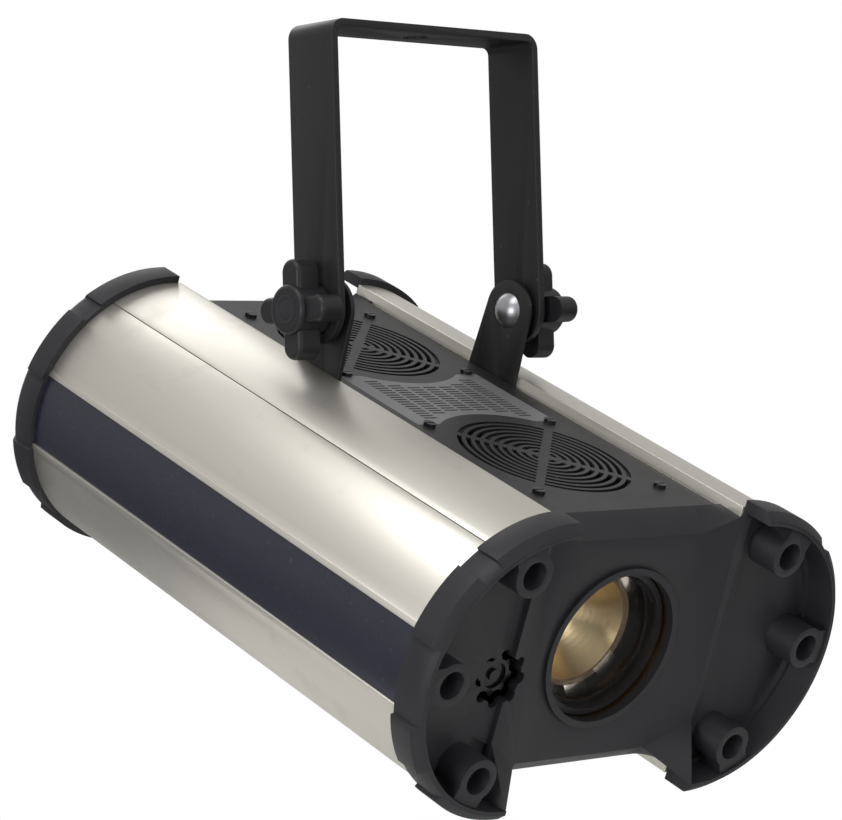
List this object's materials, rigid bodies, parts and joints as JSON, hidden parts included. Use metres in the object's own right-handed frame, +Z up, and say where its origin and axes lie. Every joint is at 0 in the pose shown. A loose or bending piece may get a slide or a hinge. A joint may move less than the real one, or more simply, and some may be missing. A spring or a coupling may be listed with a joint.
{
  "type": "follow spot",
  "caption": "Yoke-hung stage spot with twin half-round satin aluminium sides, black moulded end caps, tilt clamp knobs, fan grilles and a gold-lined lens opening.",
  "frame": {"origin": "centre of the hanging hole at the yoke's top face", "axes": "+Z up through the hanging hole, +X along the tilt axis to the right seen from the lens, -Y towards the side the lens points to, the head resting 23.5 degrees nose-down"},
  "size_m": [0.2758, 0.3722, 0.3883],
  "materials": {
    "aluminium_satin": "satin",
    "black_moulding": "matt",
    "black_paint": "satin",
    "grey_screen": "satin",
    "navy_inlay": "satin",
    "steel_plate": "satin",
    "zinc_fastener": "satin",
    "clear_glass": "polished",
    "gold_coating": "polished",
    "colour_glass": "polished",
    "reflector_mirror": "polished",
    "socket_ceramic": "matt",
    "winding_tape": "satin",
    "lamination_steel": "dull",
    "board_green": "gloss",
    "motor_black": "satin"
  },
  "bodies": {
    "yoke": {"yoke_bracket": "black_paint", "knob_washers": "zinc_fastener"},
    "left_knob": {"left_clamp_knob": "black_moulding"},
    "right_knob": {"right_clamp_knob": "black_moulding"},
    "front_fan": {"front_fan_rotor": "black_moulding"},
    "rear_fan": {"rear_fan_rotor": "black_moulding"},
    "gobo": {"gobo_wheel": "steel_plate"},
    "colour": {"colour_wheel": "steel_plate", "colour_filters": "colour_glass"},
    "focus": {"focus_knob": "black_moulding"},
    "lens_carriage": {"lens_cell": "black_paint", "front_lens": "clear_glass"},
    "rocker": {"power_rocker": "black_moulding"},
    "head": {"board_posts": "steel_plate", "bottom_plate": "black_paint", "cap_screws": "zinc_fastener", "carriage_bolts": "zinc_fastener", "chassis_tray": "steel_plate", "colour_motor": "motor_black", "condenser_holder": "steel_plate", "condenser_lens": "clear_glass", "control_board": "board_green", "cross_brace": "black_paint", "data_sockets": "black_moulding", "dish_ring": "clear_glass", "ear_screws": "zinc_fastener", "fan_screws": "zinc_fastener", "filter_clip": "steel_plate", "front_cap": "black_moulding", "front_fan_frame": "black_moulding", "fuse_holder": "black_moulding", "gate_bulkhead": "steel_plate", "gate_dish": "gold_coating", "gobo_motor": "motor_black", "halogen_lamp": "clear_glass", "heat_filter": "clear_glass", "lamp_carrier": "steel_plate", "lamp_reflector": "reflector_mirror", "lamp_socket": "socket_ceramic", "left_ear": "black_paint", "left_side_profile": "aluminium_satin", "left_trim_strip": "navy_inlay", "left_upper_profile": "aluminium_satin", "lens_barrel": "black_paint", "lens_ring": "black_paint", "mains_inlet": "black_moulding", "motor_bulkhead": "steel_plate", "pivot_spacers": "zinc_fastener", "rear_cap": "black_moulding", "rear_fan_frame": "black_moulding", "right_ear": "black_paint", "right_side_profile": "aluminium_satin", "right_trim_strip": "navy_inlay", "right_upper_profile": "aluminium_satin", "safety_eye": "steel_plate", "switch_frame": "black_moulding", "top_plate": "black_paint", "transformer_coil": "winding_tape", "transformer_core": "lamination_steel", "vent_screen": "grey_screen"}
  },
  "joints": [
    {"name": "head_tilt", "type": "hinge", "parent": "yoke", "child": "head", "pos_m": [0, 0, -0.1436], "axis": [1, 0, 0], "range_deg": [-113.5, 66.5]},
    {"name": "left_knob_turn", "type": "hinge", "parent": "head", "child": "left_knob", "pos_m": [-0.078, 0, -0.1436], "axis": [-1, 0, 0], "range_deg": [0, 360]},
    {"name": "right_knob_turn", "type": "hinge", "parent": "head", "child": "right_knob", "pos_m": [0.078, 0, -0.1436], "axis": [1, 0, 0], "range_deg": [0, 360]},
    {"name": "front_fan_spin", "type": "hinge", "parent": "head", "child": "front_fan", "pos_m": [0, -0.08162, -0.22925], "axis": [0, -0.3987, 0.9171], "continuous": true},
    {"name": "rear_fan_spin", "type": "hinge", "parent": "head", "child": "rear_fan", "pos_m": [0, 0.05594, -0.16944], "axis": [0, -0.3987, 0.9171], "continuous": true},
    {"name": "gobo_turn", "type": "hinge", "parent": "head", "child": "gobo", "pos_m": [0.03, -0.08273, -0.29189], "axis": [0, 0.9171, 0.3987], "continuous": true},
    {"name": "colour_turn", "type": "hinge", "parent": "head", "child": "colour", "pos_m": [-0.03, -0.07769, -0.28969], "axis": [0, 0.9171, 0.3987], "continuous": true},
    {"name": "focus_turn", "type": "hinge", "parent": "head", "child": "focus", "pos_m": [-0.072, -0.12388, -0.32014], "axis": [0, 0.9171, 0.3987], "range_deg": [0, 720]},
    {"name": "lens_focus", "type": "slide", "parent": "head", "child": "lens_carriage", "axis": [0, 0.9171, 0.3987], "range_m": [0, 0.008]},
    {"name": "rocker_tip", "type": "hinge", "parent": "head", "child": "rocker", "pos_m": [0.027, 0.16214, -0.22685], "axis": [0, -0.3987, 0.9171], "range_deg": [0, 13.6]}
  ],
  "couplings": [
    {"joint": "focus_turn", "follows": "lens_focus", "rad_per_m": 1570.7}
  ]
}
